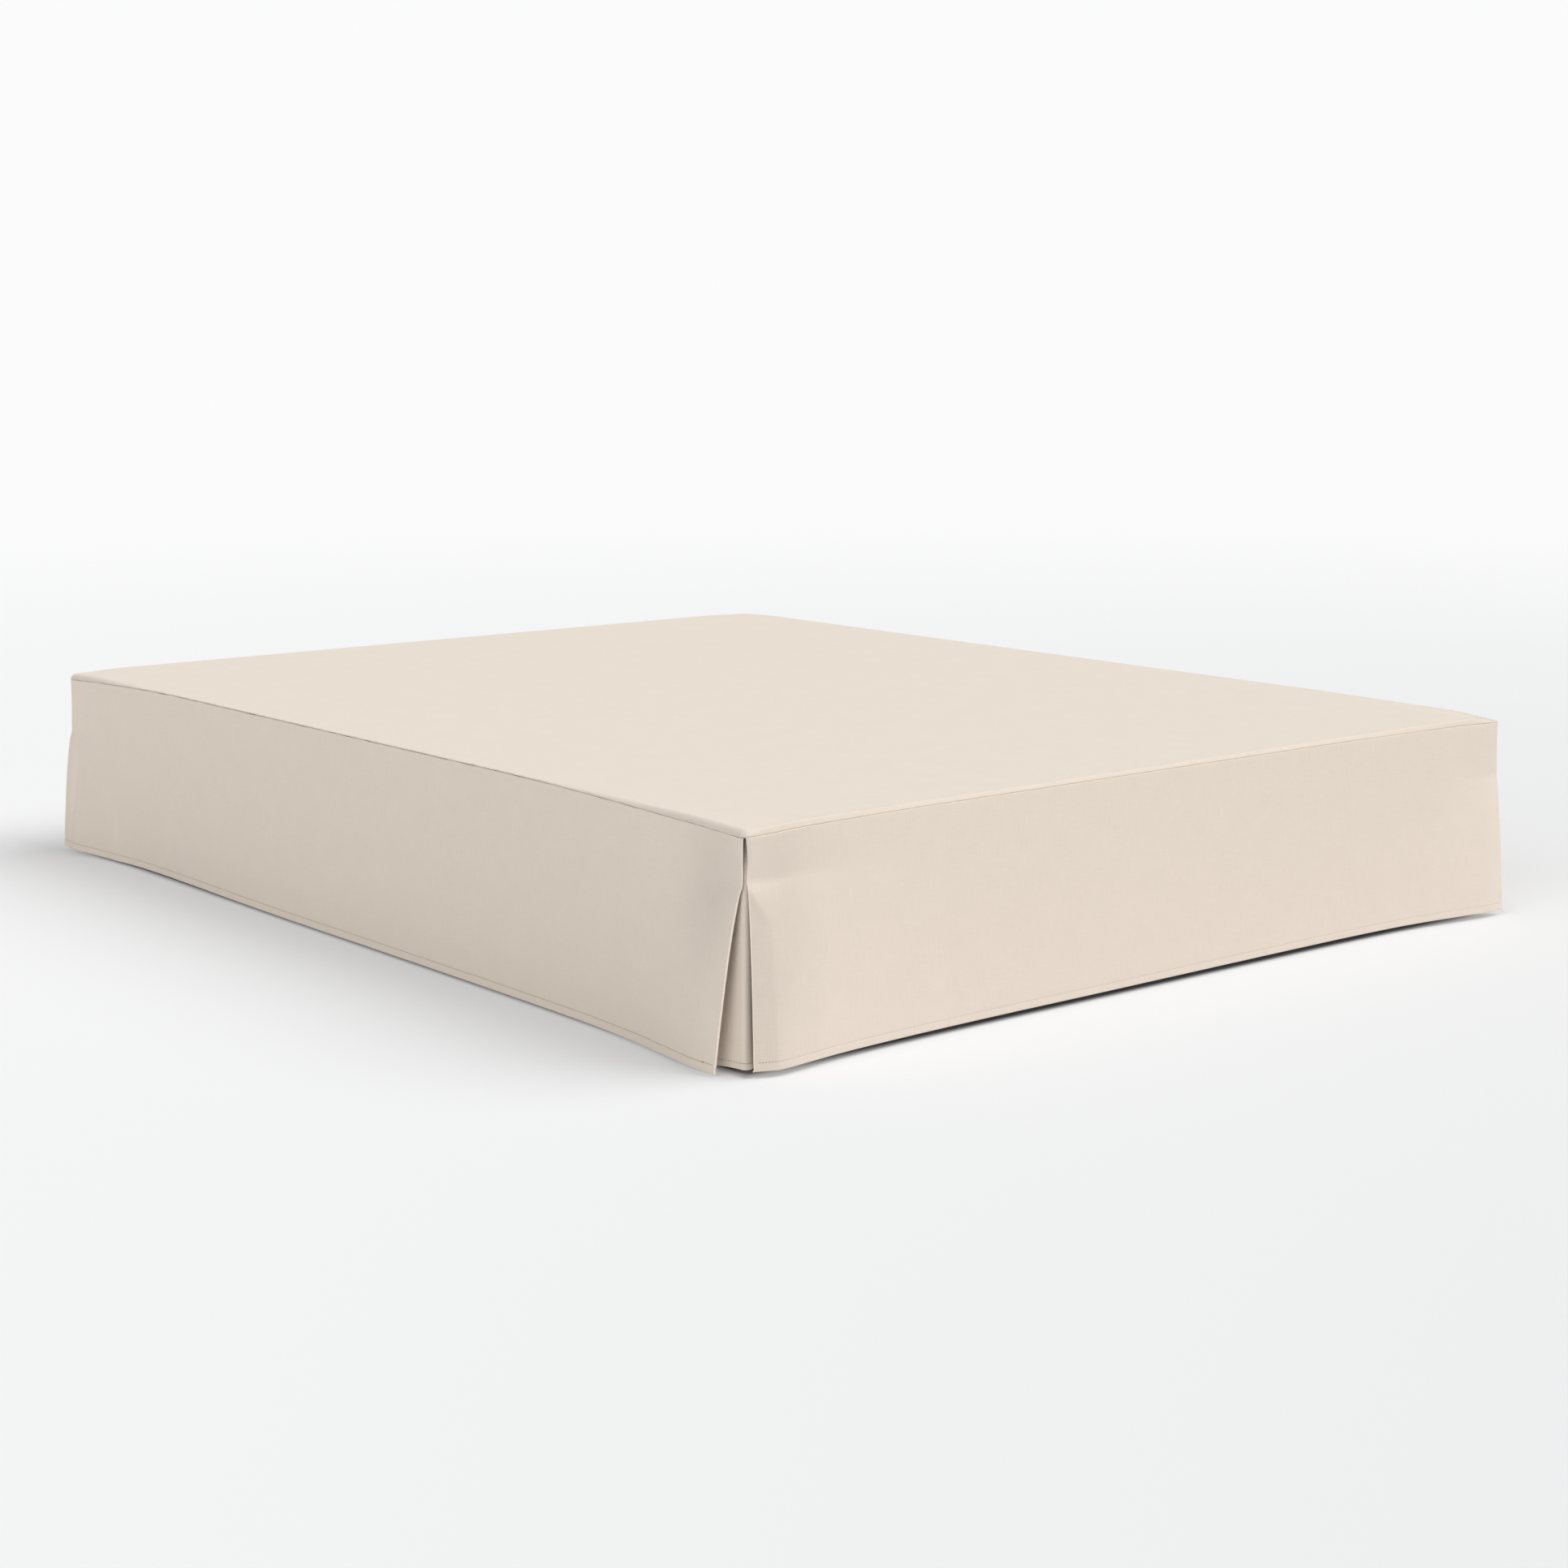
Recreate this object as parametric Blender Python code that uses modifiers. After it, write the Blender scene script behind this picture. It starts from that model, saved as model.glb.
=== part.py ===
"""Box spring cover: a top panel, four skirts and a pleat insert behind each corner slit.

Metres, +Z up. X runs across the bed and Y along it. The origin is the middle of the top panel's underside,
where the cover is carried. The corner at -X and -Y is called near, -X and +Y left, +X and -Y right, and
+X and +Y far. Every piece is the outer face of its cloth, a grid bent by functions, with Solidify adding
the cloth's thickness on the inside.
"""
import math
from collections import namedtuple

import bmesh
import bpy
from mathutils import Vector

# Cover as it hangs
OUTER_WIDTH = 1.612
OUTER_LENGTH = 2.016
CLOTH = 0.0020
HEM_CLOTH = 0.0030
HEM_FOLD = 0.012
GAP = 0.0004
LAYER_GAP = 0.0008

# Rounding that the cloth follows at the top edges, in plan and in section, and the droop of the corners
ROLL = 0.012
CORNER_ROLL_ANGLE = math.radians(74)
CORNER_DROOP = 0.003
DROOP_REACH = 0.12

# Pleat inserts, which reach the same way along both sides of their corner
PLEAT_LEG = 0.090
PLEAT_HEM = -0.3245
LEG_SHARES = (1.0, 0.78, 0.56, 0.34, 0.14)

# The four sides: the way each faces, half its length, its distance from the middle of the bed, the angle
# on the rounding at which its seam lies in the middle, how far from its ends it gets there, and the
# level of its hem
HALF_WIDTH = OUTER_WIDTH / 2
HALF_LENGTH = OUTER_LENGTH / 2
Side = namedtuple("Side", "outward half across seam_angle rise_start rise_end hem")
SIDES = {
    "left": Side((-1, 0), HALF_LENGTH, HALF_WIDTH, math.radians(8), 0.60, 0.45, -0.3295),
    "foot": Side((0, -1), HALF_WIDTH, HALF_LENGTH, math.radians(58), 0.35, 0.50, -0.3240),
    "right": Side((1, 0), HALF_LENGTH, HALF_WIDTH, math.radians(50), 0.40, 0.40, -0.3270),
    "head": Side((0, 1), HALF_WIDTH, HALF_LENGTH, math.radians(55), 0.40, 0.40, -0.3270),
}

# The free ends of the skirts at the corner slits. Above the pinch the edge gapes a little and has gone
# back by slit at the pinch. Below it the end swings outwards: by flare at a soft ridge, by edge_share of
# that at its edge, fading over decay along the skirt. shift moves the edge back from the corner at the
# hem, power bends the edge's line, and dip draws the hem inwards past the flare. The ridge starts at the
# edge just below the pinch and spreads as a power of the height, and the fade is shorter there.
End = namedtuple("End", "pinch flare edge_share ridge decay softness gape slit shift power dip")
ENDS = {
    ("left", "start"): End(0.066, 0.0300, 0.96, 0.040, 0.130, 0.50, 0.0005, 0.0018, 0.0200, 0.70, 0.0000),
    ("left", "end"): End(0.100, 0.0260, 0.85, 0.045, 0.050, 0.50, 0.0010, 0.0010, -0.0060, 0.60, 0.0080),
    ("foot", "start"): End(0.064, 0.0235, 0.80, 0.043, 0.143, 0.15, 0.0025, 0.0015, -0.0015, 0.45, 0.0000),
    ("foot", "end"): End(0.090, 0.0260, 0.95, 0.030, 0.110, 0.50, 0.0010, 0.0015, 0.0030, 0.80, 0.0040),
    ("right", "start"): End(0.085, 0.0180, 0.90, 0.035, 0.120, 0.40, 0.0015, 0.0015, 0.0090, 0.75, 0.0020),
    ("right", "end"): End(0.075, 0.0230, 0.92, 0.040, 0.130, 0.50, 0.0010, 0.0020, 0.0060, 0.70, 0.0020),
    ("head", "start"): End(0.090, 0.0160, 0.90, 0.035, 0.120, 0.40, 0.0015, 0.0015, 0.0110, 0.75, 0.0020),
    ("head", "end"): End(0.070, 0.0200, 0.88, 0.040, 0.120, 0.40, 0.0015, 0.0020, 0.0080, 0.75, 0.0020),
}
RIDGE_FLOOR = 0.01
RIDGE_POWER = 0.35
FADE_AT_PINCH = 0.35
SHIFT_REACH = 0.40
DIP_START = 0.16
DIP_PLACE = 0.33
DIP_WIDTH = 0.26

# Corners: sign of x, sign of y, and how far the insert swells outwards at the hem on its x and y legs
Corner = namedtuple("Corner", "x y swell_x swell_y")
CORNERS = {
    "near": Corner(-1, -1, 0.014, 0.002),
    "left": Corner(-1, 1, 0.006, 0.005),
    "right": Corner(1, -1, 0.005, 0.006),
    "far": Corner(1, 1, 0.007, 0.006),
}
SWELL_PLACE = 0.050
SWELL_WIDTH = 0.030
SWELL_TOP = 0.36

# Colours and finish, linear
TOP_COLOUR = (0.70, 0.63, 0.55)
SKIRT_COLOUR = (0.69, 0.62, 0.54)
PLEAT_COLOUR = (0.68, 0.61, 0.53)
CLOTH_ROUGHNESS = 0.9

# Grid lines: steps round the roll, distances from the rounded corner, shares of the drop
ROLL_STEPS = 3
END_STATIONS = (0.0, 0.012, 0.026, 0.043, 0.062, 0.090, 0.130, 0.185, 0.260, 0.370, 0.520)
DROP_SHARES = (0.0, 0.07, 0.14, 0.21, 0.28, 0.36, 0.46, 0.58, 0.72, 0.86)


def smooth(value):
    """Smoothstep of a value held between 0 and 1."""
    t = min(max(value, 0.0), 1.0)
    return t * t * (3 - 2 * t)


def corner_droop(x, y):
    """Height that the top loses close to its corners."""
    away = math.hypot(HALF_WIDTH - abs(x), HALF_LENGTH - abs(y))
    return CORNER_DROOP * smooth(1 - away / DROOP_REACH)


def seam_angle(side, along):
    """Angle on the rounded edge, from level, at which the seam lies."""
    rise = smooth((side.half + along) / side.rise_start) * smooth((side.half - along) / side.rise_end)
    return CORNER_ROLL_ANGLE + (side.seam_angle - CORNER_ROLL_ANGLE) * rise


def corner_angles():
    """Plan angles at which grid lines cross a rounded corner, up to its middle."""
    return [math.atan2(step, ROLL_STEPS) for step in range(ROLL_STEPS + 1)]


def mapped_grid(bm, columns, rows, place):
    """Grid whose vertex in column i and row j lies at place(i, j); returns the vertices by (i, j)."""
    bmesh.ops.create_grid(bm, x_segments=columns, y_segments=rows, size=1.0)
    found = {}
    for vert in bm.verts:
        i = round((vert.co.x + 1) / 2 * columns)
        j = round((vert.co.y + 1) / 2 * rows)
        found[i, j] = vert
    for (i, j), vert in found.items():
        vert.co = place(i, j)
    return found


def thicken(piece, hem):
    """Give a piece its cloth's thickness on the inner side, and more at the vertices of its folded hem."""
    solidify = piece.modifiers.new("cloth thickness", "SOLIDIFY")
    solidify.offset = -1.0
    solidify.use_even_offset = True
    solidify.thickness = CLOTH
    if hem:
        group = piece.vertex_groups.new(name="hem")
        group.add(hem, 1.0, "REPLACE")
        solidify.thickness = HEM_CLOTH
        solidify.vertex_group = group.name
        solidify.thickness_vertex_group = CLOTH / HEM_CLOTH


def cloth_piece(name, columns, rows, place, outward, hem_rows, material):
    """Piece of cloth: a mapped grid that faces outward, thickened inwards and more so in its hem rows."""
    bm = bmesh.new()
    found = mapped_grid(bm, columns, rows, place)
    bm.normal_update()
    facing = sum((face.normal for face in bm.faces), Vector())
    if facing.dot(outward) < 0:
        bmesh.ops.reverse_faces(bm, faces=bm.faces)
    bm.verts.index_update()
    hem = [found[i, j].index for j in hem_rows for i in range(columns + 1)]
    mesh = bpy.data.meshes.new(name)
    bm.to_mesh(mesh)
    bm.free()
    mesh.shade_smooth()
    mesh.materials.append(material)
    piece = bpy.data.objects.new(name, mesh)
    thicken(piece, hem)
    return piece


def straight_stations(half):
    """Places of the grid lines on the straight run of a side, which the top and its skirt share."""
    ends = [half - ROLL - away for away in END_STATIONS]
    middle = ends[-1] / 3
    return [-at for at in ends] + [-middle, middle] + ends[::-1]


def top_stations(half):
    """Grid lines of the top across one axis: (place before rolling, signed share of the roll)."""
    rolled = [(half - ROLL, step / ROLL_STEPS) for step in range(1, ROLL_STEPS + 1)]
    level = [(at, 0.0) for at in straight_stations(half)]
    return [(-at, -share) for at, share in rolled[::-1]] + level + rolled


def side_under(x, y, share_x, share_y):
    """The side that a rolled point of the top belongs to, and its distance along that side."""
    if abs(share_x) >= abs(share_y):
        return SIDES["right" if share_x > 0 else "left"], y
    return SIDES["head" if share_y > 0 else "foot"], x


def make_top(material):
    """Top panel: level in the middle, drooping at the corners and rolled down to the seam."""
    across = top_stations(HALF_WIDTH)
    lengthways = top_stations(HALF_LENGTH)

    def place(i, j):
        x, share_x = across[i]
        y, share_y = lengthways[j]
        share = max(abs(share_x), abs(share_y))
        drop = 0.0
        if share:
            side, along = side_under(x, y, share_x, share_y)
            angle = seam_angle(side, along) * share
            size = math.hypot(share_x, share_y)
            x += ROLL * math.sin(angle) * share_x / size
            y += ROLL * math.sin(angle) * share_y / size
            drop = ROLL * (1 - math.cos(angle))
        return Vector((x, y, CLOTH - drop - corner_droop(x, y)))

    return cloth_piece("top_panel", len(across) - 1, len(lengthways) - 1, place, Vector((0, 0, 1)), (),
                       material)


def end_swing(end, away, share, drop):
    """Outward swing and backward shift of a skirt's end, away from its edge and at a share of the drop."""
    depth = share * drop
    below = max(depth - end.pinch, 0.0) / (drop - end.pinch)
    opened = below ** end.power
    ridge = end.ridge * max(below, RIDGE_FLOOR) ** RIDGE_POWER
    if away < ridge:
        across = end.edge_share + (1 - end.edge_share) * math.sin(math.pi / 2 * away / ridge)
    else:
        run = (away - ridge) / (end.decay * (FADE_AT_PINCH + (1 - FADE_AT_PINCH) * opened))
        across = math.exp(end.softness - math.hypot(run, end.softness))
    swing = end.flare * opened * across
    dipped = smooth((away - PLEAT_LEG) / DIP_START) * math.exp(-((away - DIP_PLACE) / DIP_WIDTH) ** 2)
    swing -= end.dip * share * dipped
    parted = min(depth / end.pinch, 1.0)
    back = end.slit * parted + end.gape * math.sin(math.pi * parted) + end.shift * opened
    return swing, back * math.exp(-away / SHIFT_REACH)


def skirt_stations(half):
    """Grid lines along a skirt: (place on the straight run, plan angle round the corner)."""
    turned = [(half - ROLL, angle) for angle in corner_angles()[1:]]
    level = [(at, 0.0) for at in straight_stations(half)]
    return [(-at, -angle) for at, angle in turned[::-1]] + level + turned


def seam_level(side, along, x, y):
    """Level of the outer face at the seam."""
    return CLOTH - ROLL * (1 - math.cos(seam_angle(side, along))) - corner_droop(x, y)


def lip_depth(angle):
    """How far the inner edge of the top's rolled rim hangs below its outer edge."""
    last_facet = angle * (1 - 0.5 / ROLL_STEPS)
    return CLOTH * math.cos(last_facet)


def make_skirt(name, material):
    """Skirt of one side, from the seam to the hem and from corner slit to corner slit."""
    side = SIDES[name]
    outward = Vector((*side.outward, 0))
    ahead = Vector((abs(side.outward[1]), abs(side.outward[0]), 0))
    stations = skirt_stations(side.half)
    rows = len(DROP_SHARES) + 1

    def place(i, j):
        along, turn = stations[i]
        if i in (0, len(stations) - 1):
            turn -= math.copysign(LAYER_GAP / ROLL, turn)
        angle = seam_angle(side, along)
        under = outward * side.across + ahead * along
        level = seam_level(side, along, under.x, under.y) - lip_depth(angle) - GAP
        drop = level - side.hem
        share = (*DROP_SHARES, 1 - HEM_FOLD / drop, 1.0)[j]
        radius = ROLL - ROLL * (1 - math.sin(angle)) * (1 - share)
        straight = side.half - ROLL + ROLL * math.pi / 4
        from_start = straight + along + ROLL * turn
        from_end = straight - along - ROLL * turn
        swing_start, back_start = end_swing(ENDS[name, "start"], from_start, share, drop)
        swing_end, back_end = end_swing(ENDS[name, "end"], from_end, share, drop)
        pinch = ENDS[name, "start" if turn < 0 else "end"].pinch
        unrolled = smooth(share * drop / pinch)
        out = side.across - ROLL + swing_start + swing_end
        out += radius * (math.cos(turn) * (1 - unrolled) + unrolled)
        forward = along + back_start - back_end
        forward += radius * math.sin(turn) * (1 - unrolled) + ROLL * turn * unrolled
        point = outward * out + ahead * forward
        point.z = level - share * drop
        return point

    return cloth_piece("skirt_" + name, len(stations) - 1, rows, place, outward, (rows - 1, rows), material)


def pleat_stations():
    """Grid lines round a corner: (distance along the leg, plan angle), from the x leg to the y leg."""
    angles = corner_angles()
    legs = [(PLEAT_LEG * share, 0.0) for share in LEG_SHARES]
    turned = angles + [math.pi / 2 - angle for angle in angles[-2::-1]]
    return legs + [(0.0, angle) for angle in turned] + [(leg, math.pi / 2) for leg, _ in legs[::-1]]


def make_pleat(name, material):
    """Insert behind a corner slit, bent round the corner under the ends of two skirts."""
    corner = CORNERS[name]
    side_x = SIDES["left" if corner.x < 0 else "right"]
    side_y = SIDES["foot" if corner.y < 0 else "head"]
    stations = pleat_stations()
    rows = len(DROP_SHARES) + 1
    top = seam_level(side_x, corner.y * HALF_LENGTH, corner.x * HALF_WIDTH, corner.y * HALF_LENGTH)
    top -= lip_depth(CORNER_ROLL_ANGLE) + 2 * GAP
    drop = top - PLEAT_HEM

    def place(i, j):
        leg, turn = stations[i]
        share = (*DROP_SHARES, 1 - HEM_FOLD / drop, 1.0)[j]
        if turn < math.pi / 4:
            angle = seam_angle(side_x, corner.y * (HALF_LENGTH - leg))
        else:
            angle = seam_angle(side_y, corner.x * (HALF_WIDTH - leg))
        radius = ROLL * (share + (1 - share) * math.sin(angle)) - CLOTH - LAYER_GAP
        swell = max(share - SWELL_TOP, 0.0) / (1 - SWELL_TOP)
        swell *= math.exp(-((leg - SWELL_PLACE) / SWELL_WIDTH) ** 2)
        out_x = (radius + corner.swell_x * swell) * math.cos(turn)
        out_y = (radius + corner.swell_y * swell) * math.sin(turn)
        back_x = leg if turn > math.pi / 4 else 0.0
        back_y = leg if turn < math.pi / 4 else 0.0
        x = corner.x * (HALF_WIDTH - ROLL + out_x - back_x)
        y = corner.y * (HALF_LENGTH - ROLL + out_y - back_y)
        return Vector((x, y, top - share * drop))

    return cloth_piece("pleat_" + name, len(stations) - 1, rows, place, Vector((corner.x, corner.y, 0)),
                       (rows - 1, rows), material)


def cloth_material(name, colour, roughness):
    """Plain woven cloth of one colour."""
    material = bpy.data.materials.new(name)
    material.use_nodes = True
    shader = material.node_tree.nodes["Principled BSDF"]
    shader.inputs["Base Color"].default_value = (*colour, 1.0)
    shader.inputs["Roughness"].default_value = roughness
    shader.inputs["Metallic"].default_value = 0.0
    return material


def main():
    """Clear the scene and make the cover."""
    for item in list(bpy.data.objects):
        bpy.data.objects.remove(item, do_unlink=True)
    cover = bpy.data.collections.new("box spring cover")
    bpy.context.scene.collection.children.link(cover)
    pieces = [make_top(cloth_material("top cloth", TOP_COLOUR, CLOTH_ROUGHNESS))]
    skirt_cloth = cloth_material("skirt cloth", SKIRT_COLOUR, CLOTH_ROUGHNESS)
    pieces += [make_skirt(name, skirt_cloth) for name in SIDES]
    pleat_cloth = cloth_material("pleat cloth", PLEAT_COLOUR, CLOTH_ROUGHNESS)
    pieces += [make_pleat(name, pleat_cloth) for name in CORNERS]
    for piece in pieces:
        cover.objects.link(piece)


main()
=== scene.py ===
"""Box spring cover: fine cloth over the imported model, with its sewn seam, stitched hems, stage and camera.

Metres, +Z up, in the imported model's frame: X across the bed, Y along it, origin under the middle of the
top panel. The corner at -X and -Y is called near, -X and +Y left, +X and -Y right, and +X and +Y far.
"""

import math
from collections import namedtuple

import bmesh
import bpy
from bpy.props import FloatProperty, FloatVectorProperty, PointerProperty
from mathutils import Matrix, Vector, noise


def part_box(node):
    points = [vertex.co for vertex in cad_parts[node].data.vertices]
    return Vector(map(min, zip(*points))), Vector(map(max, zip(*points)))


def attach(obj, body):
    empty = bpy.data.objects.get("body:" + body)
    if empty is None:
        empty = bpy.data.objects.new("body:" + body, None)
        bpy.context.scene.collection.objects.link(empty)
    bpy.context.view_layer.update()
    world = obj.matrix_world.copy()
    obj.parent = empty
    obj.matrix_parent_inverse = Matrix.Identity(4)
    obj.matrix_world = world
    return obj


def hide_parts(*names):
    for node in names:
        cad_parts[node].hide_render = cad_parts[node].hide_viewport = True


bl_info = {
    "name": "Box spring cover",
    "version": (1, 0, 0),
    "blender": (4, 5, 0),
    "location": "3D View > Sidebar > Cover",
    "description": "Makes a tailored box spring cover with split corner pleats",
    "category": "Object",
}

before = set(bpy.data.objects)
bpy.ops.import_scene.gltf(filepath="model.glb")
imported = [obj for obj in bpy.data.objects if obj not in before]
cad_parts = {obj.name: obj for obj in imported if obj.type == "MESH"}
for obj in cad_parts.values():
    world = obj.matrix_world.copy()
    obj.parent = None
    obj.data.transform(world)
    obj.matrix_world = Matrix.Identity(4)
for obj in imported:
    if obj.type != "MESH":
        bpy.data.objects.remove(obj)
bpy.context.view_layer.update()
MM = 0.001
BODY = "root"

# Rounding that the cloth follows at the top edges, and the droop of the corners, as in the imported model
ROLL = 0.012
CORNER_ROLL_ANGLE = math.radians(74)
CORNER_DROOP = 0.003
DROOP_REACH = 0.12
TOP_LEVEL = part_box("top_panel")[1].z
HALF_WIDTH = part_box("top_panel")[1].x + ROLL * (1 - math.sin(CORNER_ROLL_ANGLE))
HALF_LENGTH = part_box("top_panel")[1].y + ROLL * (1 - math.sin(CORNER_ROLL_ANGLE))

# Sag of the top's face at the right corner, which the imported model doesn't have: a short steep part and a
# long slight one along the right side, both within SAG_WIDTH of it
SAG_NEAR = 6.0 * MM
SAG_NEAR_REACH = 0.07
SAG_FAR = 5.0 * MM
SAG_FAR_REACH = 0.40
SAG_WIDTH = 0.06

# The four sides: the way each faces, half its length, its distance from the middle of the bed, the angle
# on the rounding at which its seam lies in the middle, and how far from its ends it gets there
Side = namedtuple("Side", "outward half across seam_angle rise_start rise_end")
SIDES = {
    "left": Side((-1, 0), HALF_LENGTH, HALF_WIDTH, math.radians(8), 0.60, 0.45),
    "foot": Side((0, -1), HALF_WIDTH, HALF_LENGTH, math.radians(58), 0.35, 0.50),
    "right": Side((1, 0), HALF_LENGTH, HALF_WIDTH, math.radians(50), 0.40, 0.40),
    "head": Side((0, 1), HALF_WIDTH, HALF_LENGTH, math.radians(55), 0.40, 0.40),
}

# The free ends of the skirts at the corner slits. Above the pinch the edge gapes a little and has gone
# back by slit at the pinch. Below it the end swings outwards: by flare at a soft ridge, by edge_share of
# that at its edge, fading over decay along the skirt. shift moves the edge back from the corner at the
# hem, power bends the edge's line, and dip draws the hem inwards past the flare. The ridge starts at the
# edge just below the pinch and spreads as a power of the height, and the fade is shorter there.
End = namedtuple("End", "pinch flare edge_share ridge decay softness gape slit shift power dip")
ENDS = {
    ("left", "start"): End(0.066, 0.0300, 0.96, 0.040, 0.130, 0.50, 0.0005, 0.0018, 0.0240, 0.70, 0.0000),
    ("left", "end"): End(0.100, 0.0260, 0.85, 0.045, 0.050, 0.50, 0.0010, 0.0010, -0.0060, 0.60, 0.0080),
    ("foot", "start"): End(0.064, 0.0235, 0.80, 0.043, 0.143, 0.15, 0.0025, 0.0015, -0.0015, 0.45, 0.0000),
    ("foot", "end"): End(0.090, 0.0260, 0.95, 0.030, 0.110, 0.50, 0.0010, 0.0015, 0.0030, 0.80, 0.0040),
    ("right", "start"): End(0.085, 0.0180, 0.90, 0.035, 0.120, 0.40, 0.0015, 0.0015, 0.0090, 0.75, 0.0020),
    ("right", "end"): End(0.075, 0.0230, 0.92, 0.040, 0.130, 0.50, 0.0010, 0.0020, 0.0060, 0.70, 0.0020),
    ("head", "start"): End(0.090, 0.0160, 0.90, 0.035, 0.120, 0.40, 0.0015, 0.0015, 0.0110, 0.75, 0.0020),
    ("head", "end"): End(0.070, 0.0200, 0.88, 0.040, 0.120, 0.40, 0.0015, 0.0020, 0.0080, 0.75, 0.0020),
}
RIDGE_FLOOR = 0.01
RIDGE_POWER = 0.35
FADE_AT_PINCH = 0.35
SHIFT_REACH = 0.40
DIP_START = 0.16
DIP_PLACE = 0.33
DIP_WIDTH = 0.26

# How much tighter than its full radius the top's edge is rounded, away from the corners, by the way each
# side faces, how much painted shade darkens the rounding, and the share of it over which the painted shade
# grows
ROLL_SHARPNESS = {(-1, 0): 0.0, (0, -1): 0.85, (1, 0): 0.3, (0, 1): 0.3}
SHARP_REACH = 0.05
ROLL_PAINTED_SHADE = 0.07
ROLL_PAINTED_SHADE_START = 0.4

# Pleat inserts: sign of x and y of the corner, and how far the insert swells outwards on its two legs
PLEAT_LEG = 0.090
LAYER_GAP = 0.0008
PLEAT_SETBACK = 0.0020 + LAYER_GAP
Corner = namedtuple("Corner", "x y swell_x swell_y")
CORNERS = {
    "near": Corner(-1, -1, 0.014, 0.002),
    "left": Corner(-1, 1, 0.006, 0.005),
    "right": Corner(1, -1, 0.005, 0.006),
    "far": Corner(1, 1, 0.007, 0.006),
}
SWELL_PLACE = 0.050
SWELL_WIDTH = 0.030
SWELL_TOP = 0.36

# What only the fine cloth of the inserts has: squarer corners below CREASE_START, a recess on the leg
# behind the foot or head skirt, and a tuck below the seam that ends at TUCK_REACH
INSERT_CREASE = 0.2
CREASE_START = 0.05
INSERT_RECESS = 0.006
RECESS_START = 0.014
RECESS_WIDTH = 0.06
TUCK = 0.009
TUCK_WIDTH = 0.02
TUCK_REACH = 0.060

# Sewing: the lip that turns in at a seam, the uneven gap below it, the folded edges, the hem, which lifts
# towards the end of one skirt, and the groove and puckers at its line of stitches
SEAM_LIP = 1.1 * MM
SEAM_GAPS = {"left": 1.3 * MM, "foot": 0.3 * MM, "right": 0.2 * MM, "head": 0.2 * MM}
SEAM_WANDER = 35 * MM
SEAM_UNEVEN = 0.6
SEAM_GAP_LEAST = 0.4
LIP_DROP = 1.3
LIP_TURN = math.radians(125)
EDGE_TURN = math.radians(180)
EDGE_FOLDS = {"left": 1.8 * MM, "foot": 0.9 * MM, "right": 1.5 * MM, "head": 1.5 * MM}
TIGHT_FOLD = 1.1 * MM
FOLD_OPENING = 0.030
SLIT_OPEN = 1.3 * MM
HEM_FOLD = 12 * MM
PLEAT_HEM_FOLD = 9 * MM
HEM_ZONE = 18 * MM
HEM_LIFTS = {"left": 6 * MM}
HEM_LIFT_REACH = 0.20
HEM_SWELL = 0.25 * MM
STITCH_GROOVES = {"left": 0.5 * MM, "foot": 0.2 * MM, "right": 0.35 * MM, "head": 0.35 * MM}
GROOVE_WIDTH = 1.2 * MM
PUCKER = 0.35 * MM
PUCKER_LENGTH = 14 * MM
PUCKER_SPREAD = 5

# Broad unevenness of cloth that hangs or lies loosely, which ends at the top's edges
WAVE = 1.0 * MM
WAVE_LENGTH = 0.30
TOP_WAVE = 0.4 * MM
TOP_WAVE_MARGIN = 0.10

# Places in the noise, so that no unevenness repeats another
TOP_NOISE = 1.0
ROLL_NOISE = 3.0
SEAM_NOISE = 5.0
HEM_NOISE = 10.0
SKIRT_NOISE = 20.0

# Steps of the grids: over the rounded edge, a turned lip, a folded edge, the hem zone, a folded hem and
# the turn of an insert round its corner
ROLL_STEPS = 8
LIP_STEPS = 4
EDGE_STEPS = 7
HEM_STEPS = 16
TURN_STEPS = 5
CORNER_STEPS = 10

# Main creases, soft troughs and ridges. On a skirt, from_end is the distance from its start or end and
# depth the distance below the seam. Height is outwards, and a trough's is negative.
Crease = namedtuple("Crease", "end from_end depth length width height lean")
CREASES = {
    "left": (
        Crease("start", 0.050, 0.085, 0.070, 0.022, -0.0016, 10),
        Crease("start", 0.120, 0.230, 0.110, 0.030, 0.0012, 14),
        Crease("start", 0.330, 0.200, 0.130, 0.060, -0.0012, -8),
        Crease("end", 0.034, 0.200, 0.110, 0.012, -0.0045, 0),
        Crease("end", 0.100, 0.210, 0.120, 0.030, 0.0012, 4),
        Crease("end", 0.172, 0.265, 0.050, 0.012, 0.0025, 0),
    ),
    "foot": (
        Crease("start", 0.075, 0.090, 0.060, 0.020, 0.0010, -8),
        Crease("start", 0.160, 0.160, 0.120, 0.045, -0.0012, -6),
        Crease("end", 0.080, 0.200, 0.120, 0.030, -0.0010, 4),
        Crease("end", 0.300, 0.180, 0.120, 0.070, 0.0010, 6),
    ),
    "right": (
        Crease("start", 0.090, 0.190, 0.110, 0.026, 0.0012, -6),
        Crease("end", 0.140, 0.170, 0.120, 0.040, -0.0014, 8),
    ),
    "head": (
        Crease("start", 0.110, 0.200, 0.110, 0.030, -0.0012, 6),
        Crease("end", 0.090, 0.180, 0.120, 0.028, 0.0012, -8),
    ),
}

# Painted shade: patches of the skirts painted darker, listed as creases are, with how much darker as the
# height. A negative one is a painted highlight, paler along a crease.
PAINTED_LIGHT_AND_SHADE = {
    "left": (
        Crease("start", 0.055, 0.070, 0.110, 0.060, 0.10, 0),
        Crease("end", 0.028, 0.190, 0.090, 0.011, -0.09, 0),
        Crease("end", 0.170, 0.265, 0.040, 0.012, -0.08, 0),
    ),
    "foot": (Crease("start", 0.045, 0.120, 0.200, 0.075, 0.10, 0),),
}

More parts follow.
